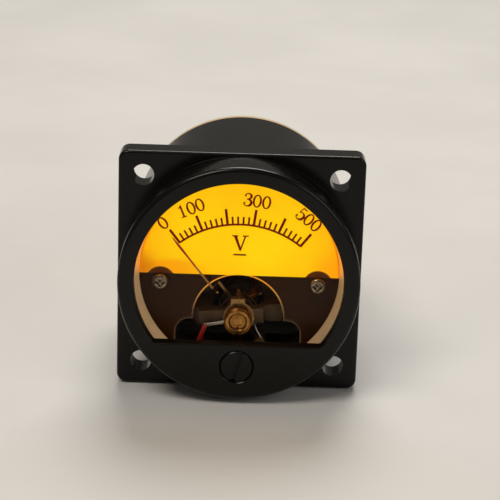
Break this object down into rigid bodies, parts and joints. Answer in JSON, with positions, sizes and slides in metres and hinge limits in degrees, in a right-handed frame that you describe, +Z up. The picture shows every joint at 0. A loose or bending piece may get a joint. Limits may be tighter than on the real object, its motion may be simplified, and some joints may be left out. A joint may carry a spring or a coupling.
{
  "type": "analog panel meter",
  "caption": "Square-flange panel voltmeter with a round lit dial, its moving-coil movement open to view below, a slotted zero adjuster and rear terminal studs.",
  "frame": {"origin": "middle of the flange's back face, at the centre of the mounting holes", "axes": "+X to the right seen from the front, +Y back through the panel along the barrel, +Z up"},
  "size_m": [0.045, 0.0533, 0.045],
  "materials": {
    "case": "moulded black, half-gloss",
    "window": "clear acrylic, polished",
    "cup": "cream-white moulding",
    "box": "milky, lets lamplight through",
    "yoke": "black phosphate",
    "bridge": "grey die casting, bare",
    "dial": "translucent sheet, printed",
    "screw": "zinc plated",
    "board": "paper laminate",
    "lamp": "lit glass bulb",
    "tinned": "tinned",
    "iron": "grey zinc plate",
    "magnet": "sintered, ground",
    "brass": "turned and bright",
    "chassis": "moulded black, matte",
    "spring": "phosphor bronze strip",
    "arm": "plated brass strip",
    "former": "thin bare sheet",
    "copper": "enamelled copper wire",
    "pointer": "red paint on thin strip",
    "wire_red": "wire insulation",
    "wire_black": "wire insulation",
    "wire_white": "wire insulation",
    "resistor": "lacquered body"
  },
  "bodies": {
    "meter": {"front_case": "case", "window_lens": "window", "inner_cup": "cup", "light_box": "box", "dial_plate": "dial", "dial_screws": "screw", "pole_screws": "screw", "chassis_screws": "screw", "lamp_board": "board", "lamp_left": "lamp", "lamp_right": "lamp", "lamp_tag_left": "tinned", "lamp_tag_right": "tinned", "lead_tag": "tinned", "bare_lead": "tinned", "stud_washers": "tinned", "solder_lug_left": "tinned", "solder_lug_right": "tinned", "yoke": "yoke", "pole_left": "iron", "pole_right": "iron", "core": "iron", "magnet_left": "magnet", "magnet_right": "magnet", "front_bridge": "bridge", "core_post": "brass", "front_jewel_screw": "brass", "front_lock_nut": "brass", "rear_jewel_screw": "brass", "rear_lock_nut": "brass", "pointer_stops": "brass", "rear_spring_post": "brass", "terminal_studs": "brass", "stud_nuts": "brass", "terminal_nuts": "brass", "chassis": "chassis", "red_lead": "wire_red", "return_lead": "wire_black", "lamp_lead_left": "wire_white", "lamp_lead_right": "wire_white", "series_resistor": "resistor"},
    "zero_adjuster": {"zero_adjuster": "case"},
    "zero_arm": {"zero_arm": "arm"},
    "pointer": {"pointer": "pointer", "balance_cross": "brass", "balance_weights": "brass", "front_staff": "brass", "rear_staff": "brass", "coil_former": "former", "coil_winding": "copper", "front_hairspring": "spring", "rear_hairspring": "spring"}
  },
  "joints": [
    {"name": "zero_adjuster_turn", "type": "hinge", "parent": "meter", "child": "zero_adjuster", "pos_m": [0, -0.012, -0.0156], "axis": [0, 1, 0], "range_deg": [-30, 30]},
    {"name": "zero_arm_turn", "type": "hinge", "parent": "meter", "child": "zero_arm", "pos_m": [0, -0.007, -0.00845], "axis": [0, 1, 0], "range_deg": [-4, 4]},
    {"name": "pointer_swing", "type": "hinge", "parent": "zero_arm", "child": "pointer", "pos_m": [0, 0, -0.00845], "axis": [0, 1, 0], "range_deg": [-4, 80], "stiffness_Nm_per_rad": 0.00002, "deforming": ["front_hairspring", "rear_hairspring"]}
  ],
  "couplings": [
    {"joint": "zero_arm_turn", "follows": "zero_adjuster_turn", "ratio": -0.122}
  ]
}
